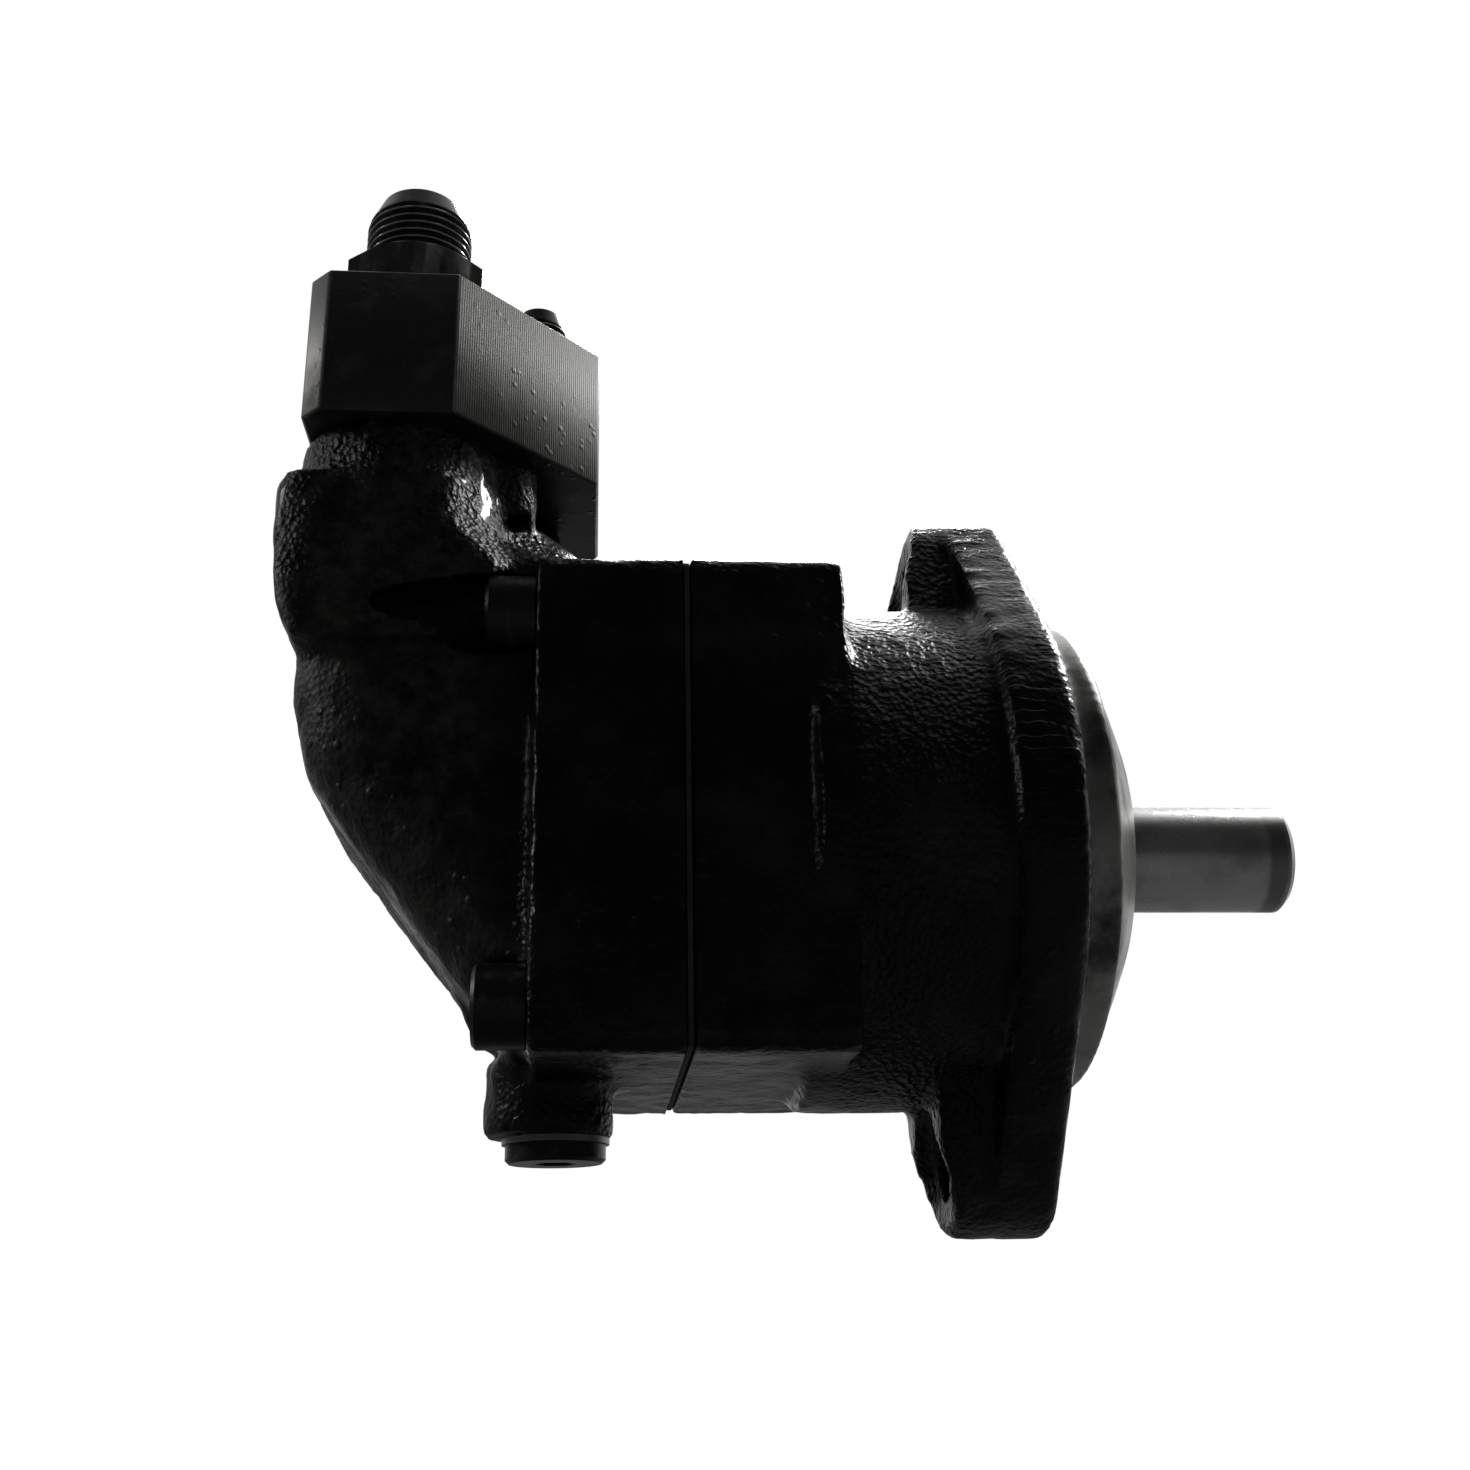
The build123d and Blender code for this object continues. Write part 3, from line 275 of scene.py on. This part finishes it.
# ---- making pieces
def asPiece(name, work, body, slotName, replaced=(), material=None, smoothAngle=35):
    bmesh.ops.recalc_face_normals(work, faces=work.faces)
    mesh = bpy.data.meshes.new(name)
    work.to_mesh(mesh)
    work.free()
    piece = bpy.data.objects.new(name, mesh)
    bpy.context.scene.collection.objects.link(piece)
    mesh.materials.append(material or finishes[slotName])
    mesh.shade_smooth()
    mesh.set_sharp_from_angle(angle=math.radians(smoothAngle))
    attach(piece, body)
    if replaced:
        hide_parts(*replaced)
    return piece


def cadCopy(node):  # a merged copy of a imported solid's mesh
    work = bmesh.new()
    work.from_mesh(nodes[node].data)
    bmesh.ops.remove_doubles(work, verts=work.verts, dist=1e-6)
    return work


def remeshed(work, voxel):  # one skin over all shells in work
    mesh = bpy.data.meshes.new("rough")
    work.to_mesh(mesh)
    work.free()
    holder = bpy.data.objects.new("rough", mesh)
    bpy.context.scene.collection.objects.link(holder)
    change = holder.modifiers.new("skin", "REMESH")
    change.mode = "VOXEL"
    change.voxel_size = voxel
    bpy.context.view_layer.update()
    done = bpy.data.meshes.new_from_object(holder.evaluated_get(bpy.context.evaluated_depsgraph_get()))
    bpy.data.objects.remove(holder)
    result = bmesh.new()
    result.from_mesh(done)
    bpy.data.meshes.remove(done)
    return result


def bumpy(work, amount, grain, keep):  # casting unevenness, away from machined places
    for vert in work.verts:
        if keep(vert.co):
            continue
        rise = noise.fractal(vert.co * grain, 0.9, 2.0, 3)
        vert.co += vert.normal * min(0.0, rise - 0.25) * amount


camera = {"lens": 39.11, "yaw": 5.05355, "pitch": 19.98811, "roll": -1.17237,
          "place": (-74.562, -272.614, -76.223)}


def addCamera():
    yaw, pitch, roll = [math.radians(camera[k]) for k in ("yaw", "pitch", "roll")]
    look = Vector((math.sin(yaw) * math.cos(pitch), math.cos(yaw) * math.cos(pitch), math.sin(pitch)))
    side = Vector((math.cos(yaw), -math.sin(yaw), 0))
    top = side.cross(look)
    right = side * math.cos(roll) + top * math.sin(roll)
    up = top * math.cos(roll) - side * math.sin(roll)
    data = bpy.data.cameras.new("photoCamera")
    data.lens = camera["lens"]
    data.sensor_width = 36
    data.clip_start = 0.01
    holder = bpy.data.objects.new("photoCamera", data)
    bpy.context.scene.collection.objects.link(holder)
    turn = Matrix((right, up, -look)).transposed().to_4x4()
    holder.matrix_world = Matrix.Translation(Vector(camera["place"]) * mm) @ turn
    bpy.context.scene.camera = holder


addCamera()


# ---- flare adapters: hexagon, rolled thread and cone, turned as one skin
adapterLarge = {"thread": 9.525, "pitch": 1.5875, "depth": 0.85, "flats": 23.8, "hexTurn": 33.75, "hexLow": 0.8,
                "hexTop": 11.6, "threadLow": 13.6, "threadTop": 21.4, "total": 26.6, "tip": 7.2, "bore": 5.0,
                "stud": 13.0, "relief": 8.45}
adapterSmall = {"thread": 5.556, "pitch": 1.27, "depth": 0.65, "flats": 14.3, "hexTurn": 11.25, "hexLow": 0.8,
                "hexTop": 8.6, "threadLow": 10.6, "threadTop": 16.6, "total": 21.2, "tip": 3.9, "bore": 2.2,
                "stud": 10.0, "relief": 4.7}
turnedSteps = {"rise": 0.16, "around": 96, "studChamfer": 0.8, "hexEdge": 0.6, "hexRound": 1.4, "neck": 1.4,
               "runOut": 0.5, "boreEdge": 0.5}


def turned(work, profile, axisPlace, axisDir, steps):  # closed ring skin from a closed half profile
    points = [work.verts.new(p) for p in profile]
    edges = [work.edges.new((points[i], points[(i + 1) % len(points)])) for i in range(len(points))]
    bmesh.ops.spin(work, geom=points + edges, cent=axisPlace, axis=axisDir, angle=2 * math.pi, steps=steps,
                   use_merge=True)
    bmesh.ops.remove_doubles(work, verts=work.verts, dist=1e-6)


def flareAdapter(name, node, sizes):
    low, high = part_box(node)
    cx, cy = (low.x + high.x) / 2, (low.y + high.y) / 2
    base = high.z - sizes["total"] * mm
    rows = []
    rise, edge = turnedSteps["rise"], turnedSteps["studChamfer"]
    count = int((sizes["threadTop"] - sizes["threadLow"]) / rise)
    rows += [(sizes["bore"], -sizes["stud"]), (sizes["thread"] - edge, -sizes["stud"]),
             (sizes["thread"], -sizes["stud"] + edge), (sizes["thread"], sizes["hexLow"])]
    flat, point = sizes["flats"] / 2, sizes["flats"] / math.sqrt(3)
    rows += [(flat, sizes["hexLow"]), (point, sizes["hexLow"] + turnedSteps["hexEdge"]),
             (point, sizes["hexTop"] - turnedSteps["hexRound"]), (flat, sizes["hexTop"])]
    rows += [(sizes["relief"], sizes["hexTop"]), (sizes["relief"], sizes["hexTop"] + turnedSteps["neck"])]
    rows += [(sizes["thread"], sizes["threadLow"] + i * rise) for i in range(count + 1)]
    lean = (sizes["thread"] - sizes["tip"]) / (sizes["total"] - sizes["threadTop"])
    tapered = int(sizes["depth"] / lean / rise)
    rows += [(sizes["thread"] - lean * i * rise, sizes["threadTop"] + i * rise) for i in range(1, tapered + 1)]
    rows += [(sizes["tip"], sizes["total"]), (sizes["bore"] + turnedSteps["boreEdge"], sizes["total"]),
             (sizes["bore"], sizes["total"] - turnedSteps["boreEdge"])]
    cut = sizes["thread"] - sizes["depth"]
    threadEnd = sizes["total"] - turnedSteps["boreEdge"]
    work = bmesh.new()
    turned(work, [(cx + r * mm, cy, base + z * mm) for r, z in rows], (cx, cy, 0), (0, 0, 1),
           turnedSteps["around"])
    for vert in work.verts:
        dx, dy, z = (vert.co.x - cx) / mm, (vert.co.y - cy) / mm, (vert.co.z - base) / mm
        radius, angle = math.hypot(dx, dy), math.atan2(dy, dx)
        if sizes["hexLow"] - 0.01 < z < sizes["hexTop"] + 0.01 and radius > flat - 0.01:
            turn = (angle - math.radians(sizes["hexTurn"])) % (math.pi / 3) - math.pi / 6
            wide = flat / math.cos(turn)
            if radius > flat + 0.01:  # the rims of the flats run in arcs
                grow = wide / radius
                drop = (point - wide) * 0.55
                vert.co.z += (drop if z > sizes["hexTop"] / 2 else -0.5 * drop) * mm
                vert.co.x, vert.co.y = cx + dx * grow * mm, cy + dy * grow * mm
        elif sizes["threadLow"] - 0.01 < z < threadEnd and radius > cut:
            phase = (z / sizes["pitch"] - angle / (2 * math.pi)) % 1.0
            tooth = min(1.0, max(0.0, 2.6 * abs(phase - 0.5) - 0.12))
            fade = min(1.0, (z - sizes["threadLow"]) / turnedSteps["runOut"])
            shrink = min(1.0, (sizes["thread"] - sizes["depth"] * tooth * max(0.0, fade)) / radius)
            vert.co.x, vert.co.y = cx + dx * shrink * mm, cy + dy * shrink * mm
    # the fitting finish with a painted highlight on its thread crests
    crestHighlighted = darkFitting(name + "Steel", (cx, cy, sizes["thread"] * mm, base + (sizes["threadLow"] - 0.2) * mm))
    return asPiece(name, work, "housing", "dark_steel", (node,), crestHighlighted, 40)


flareAdapter("flareAdapterNear", "port_adapter_a", adapterLarge)
flareAdapter("flareAdapterFar", "port_adapter_b", adapterLarge)
flareAdapter("flareAdapterDrain", "drain_adapter", adapterSmall)
print("adapters turned")


# ---- castings: rounded and uneven skins over the solids
castShape = {"voxel": 1.0 * mm, "passes": 3, "barrelPasses": 6, "uneven": 0.28 * mm, "barrelUneven": 1.3,
             "grain": 210, "bareFrom": 0.35 * mm}


def isMachinedBearing(co):
    radius = math.hypot(co.y, co.z)
    joint = co.x < -60.2 * mm
    inside = co.x < -2 * mm and radius < 31.5 * mm
    return co.x > -0.4 * mm or joint or inside


def bearingCasting():
    work = remeshed(cadCopy("bearing_housing"), castShape["voxel"])
    for step in range(castShape["passes"]):
        loose = [v for v in work.verts if not isMachinedBearing(v.co)]
        bmesh.ops.smooth_vert(work, verts=loose, factor=0.5, use_axis_x=True, use_axis_y=True, use_axis_z=True)
    work.normal_update()
    bumpy(work, castShape["uneven"], castShape["grain"], isMachinedBearing)
    bare = castShape["bareFrom"]  # the paint ends here, on the pilot's wall
    bmesh.ops.bisect_plane(work, geom=work.verts[:] + work.edges[:] + work.faces[:], dist=1e-7,
                           plane_co=(bare, 0, 0), plane_no=(1, 0, 0))
    piece = asPiece("bearingHousingCasting", work, "housing", "cast_paint", ("bearing_housing",))
    piece.data.materials.append(noseSteel)
    for face in piece.data.polygons:
        if face.center.x > bare:
            face.material_index = 1
    return piece


def isMachinedBarrel(co):
    fromPlug = math.hypot(co.x + 81.6 * mm, co.y)
    return co.x > -62.2 * mm or co.z > 65.4 * mm or (fromPlug < 9.5 * mm and co.z < -45 * mm)


def barrelCasting():
    work = remeshed(cadCopy("barrel_housing"), castShape["voxel"])
    for step in range(castShape["barrelPasses"]):
        loose = [v for v in work.verts if not isMachinedBarrel(v.co)]
        bmesh.ops.smooth_vert(work, verts=loose, factor=0.5, use_axis_x=True, use_axis_y=True, use_axis_z=True)
    work.normal_update()
    bumpy(work, castShape["uneven"] * castShape["barrelUneven"], castShape["grain"], isMachinedBarrel)
    return asPiece("barrelHousingCasting", work, "housing", "cast_paint", ("barrel_housing",))


blockShape = {"corner": 0.55 * mm, "segments": 2}


def easedBlock():
    work = cadCopy("port_block")
    bmesh.ops.dissolve_limit(work, angle_limit=0.02, verts=work.verts, edges=work.edges)
    upright = [e for e in work.edges if e.calc_length() > 20 * mm
               and (e.verts[0].co.xy - e.verts[1].co.xy).length < 0.01 * mm and e.calc_face_angle(0) > 0.3]
    bmesh.ops.bevel(work, geom=upright, offset=blockShape["corner"], offset_type="OFFSET", affect="EDGES",
                    segments=blockShape["segments"], profile=0.5, material=-1)
    bmesh.ops.triangulate(work, faces=work.faces)
    return asPiece("portBlockEased", work, "housing", "block_paint", ("port_block",), None, 25)


bearingCasting()
barrelCasting()
easedBlock()
print("castings skinned")


# ---- floor, backdrop and lamps
stageLook = {"floor": -85 * mm, "size": 60.0, "glow": 0.95, "dim": 0.03, "plain": 0.8,
             "floorColour": (0.06, 0.06, 0.06), "fill": 0.12}


def whiteFloor():
    work = bmesh.new()
    bmesh.ops.create_grid(work, x_segments=1, y_segments=1, size=stageLook["size"])
    mesh = bpy.data.meshes.new("floor")
    work.to_mesh(mesh)
    work.free()
    floor = bpy.data.objects.new("floor", mesh)
    floor.location = (0, 0, stageLook["floor"])
    bpy.context.scene.collection.objects.link(floor)
    made = Finish("floorWhite")
    made.feed(colour=stageLook["floorColour"], roughness=0.95)
    seen, gloss, through = [made.wire.make("ShaderNodeLightPath", output=i) for i in (0, 3, 6)]
    behind = made.y.band(0.5, 3.5, stageLook["dim"], 0.8)  # in gloss the floor is pale behind the part
    strength = seen * stageLook["glow"] + (gloss + through) * behind
    glow = made.wire.make("ShaderNodeEmission", None, {"Strength": strength})
    both = made.wire.make("ShaderNodeAddShader", None, {0: Wire(made.tree, made.shader.outputs[0]), 1: glow})
    made.tree.links.new(both.socket, made.tree.nodes["Material Output"].inputs["Surface"])
    mesh.materials.append(made.material)


def whiteWorld():  # white where the camera sees it, and in gloss white behind the part and dim in front
    world = bpy.data.worlds.new("studio")
    world.use_nodes = True
    bpy.context.scene.world = world
    tree = world.node_tree
    wire = Wire(tree)
    seen, gloss, through = [wire.make("ShaderNodeLightPath", output=i) for i in (0, 3, 6)]
    toward = wire.make("ShaderNodeTexCoord", output=0)
    across, deep, high = [wire.make("ShaderNodeSeparateXYZ", None, {0: toward}, i) for i in range(3)]
    room = (deep * 0.80 + across * 0.30 + high * 0.45).band(0.15, 1.0, stageLook["dim"], 1.0)
    mirrored = gloss + through
    rest = (1 - seen - mirrored) * (room * stageLook["plain"] + stageLook["fill"])
    strength = seen + mirrored * room + rest
    tree.links.new(strength.socket, tree.nodes["Background"].inputs[1])
    tree.nodes["Background"].inputs[0].default_value = (1, 1, 1, 1)


def lamp(name, place, aim, size, power):
    data = bpy.data.lights.new(name, "AREA")
    data.size = size
    data.energy = power
    holder = bpy.data.objects.new(name, data)
    holder.location = place
    holder.rotation_euler = (Vector(aim) - Vector(place)).to_track_quat("-Z", "Y").to_euler()
    bpy.context.scene.collection.objects.link(holder)


whiteFloor()
whiteWorld()
lamp("windowLamp", (0.45, 0.30, 0.55), (-0.04, 0, 0.02), 0.16, 6)
lamp("upperLamp", (0.05, 0.55, 0.62), (-0.04, 0, 0.02), 0.22, 4)
lamp("leftLamp", (-0.80, 0.05, 0.35), (-0.10, 0, 0.02), 0.22, 1.6)
bpy.context.scene.view_settings.view_transform = "Standard"
print("stage set")
